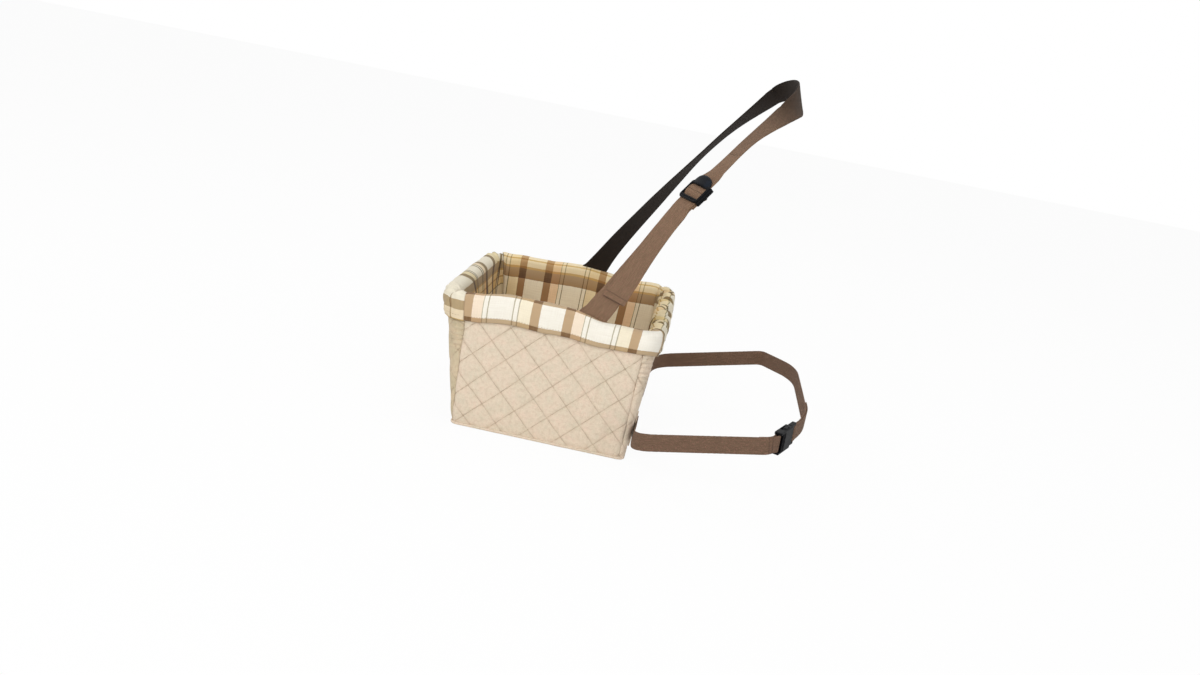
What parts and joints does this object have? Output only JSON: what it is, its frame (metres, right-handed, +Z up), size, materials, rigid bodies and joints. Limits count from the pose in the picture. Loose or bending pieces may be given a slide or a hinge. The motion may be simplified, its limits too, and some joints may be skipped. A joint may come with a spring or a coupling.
{
  "type": "dog car seat",
  "caption": "Quilted open-top booster box for a small dog, with a plaid liner folded over the rim, a headrest strap with an adjuster and a backrest belt with a side-release buckle.",
  "frame": {"origin": "centre of the underside of the base", "axes": "+X towards the side with the strap adjuster, +Y towards the backrest, +Z up"},
  "size_m": [0.5041, 0.5703, 0.5924],
  "materials": {
    "suede": "matt brushed micro-suede, quilted in diamonds",
    "plaid": "soft brushed cotton in a cream, brown and ochre plaid",
    "webbing": "woven brown webbing",
    "black_plastic": "moulded, satin",
    "foam": "closed-cell foam board",
    "board": "pressed fibre board",
    "steel": "plated wire"
  },
  "bodies": {
    "box": {"anchor_strap_near": "webbing", "base_board": "board", "base_rod": "steel", "belt_far": "webbing", "belt_fold_far": "webbing", "belt_fold_near": "webbing", "belt_near": "webbing", "belt_patch_far": "suede", "belt_patch_near": "suede", "belt_tail": "webbing", "buckle_socket": "black_plastic", "buckle_tongue": "black_plastic", "corner_post_front_far": "steel", "corner_post_front_near": "steel", "corner_post_rear_far": "steel", "corner_post_rear_near": "steel", "cover_base_panel": "suede", "cover_far_panel": "suede", "cover_front_panel": "suede", "cover_near_panel": "suede", "cover_rear_panel": "suede", "foam_far_board": "foam", "foam_front_board": "foam", "foam_near_board": "foam", "foam_rear_board": "foam", "head_strap_far": "webbing", "head_strap_loop": "webbing", "head_strap_near": "webbing", "liner_far_wall": "plaid", "liner_floor": "plaid", "liner_front_wall": "plaid", "liner_near_wall": "plaid", "liner_rear_wall": "plaid", "rim_rod": "steel", "rod_loop_far": "webbing", "rod_loop_near": "webbing", "strap_tail": "webbing", "tether_tab": "webbing", "threaded_strap": "webbing"},
    "cushion": {"floor_cushion": "plaid"},
    "adjuster": {"strap_adjuster": "black_plastic", "anchor_strap_bight": "webbing"},
    "buckle_arm_upper_body": {"buckle_arm_upper": "black_plastic"},
    "buckle_arm_lower_body": {"buckle_arm_lower": "black_plastic"},
    "ring": {"tether_ring": "steel"}
  },
  "joints": [
    {"name": "cushion_lift", "type": "slide", "parent": "box", "child": "cushion", "axis": [0, 0, 1], "range_m": [0, 0.15]},
    {"name": "adjuster_tilt", "type": "hinge", "parent": "box", "child": "adjuster", "pos_m": [0.14456, 0.14904, 0.40223], "axis": [0.818, 0.571, -0.0686], "range_deg": [0, 20], "stiffness_Nm_per_rad": 0.05, "springref_deg": -14.9, "deforming": ["threaded_strap"]},
    {"name": "buckle_squeeze_upper", "type": "hinge", "parent": "box", "child": "buckle_arm_upper_body", "pos_m": [0.2045, 0.35866, 0.11466], "axis": [0.4316, 0.9021, 0], "range_deg": [0, 10], "stiffness_Nm_per_rad": 0.1},
    {"name": "buckle_squeeze_lower", "type": "hinge", "parent": "box", "child": "buckle_arm_lower_body", "pos_m": [0.20242, 0.35966, 0.08896], "axis": [-0.4316, -0.9021, 0], "range_deg": [0, 10], "stiffness_Nm_per_rad": 0.1},
    {"name": "ring_swing", "type": "hinge", "parent": "box", "child": "ring", "pos_m": [0, 0.12348, 0.12835], "axis": [-1, 0, 0], "range_deg": [0, 120]}
  ],
  "couplings": [
    {"joint": "buckle_squeeze_lower", "follows": "buckle_squeeze_upper", "ratio": 1}
  ]
}
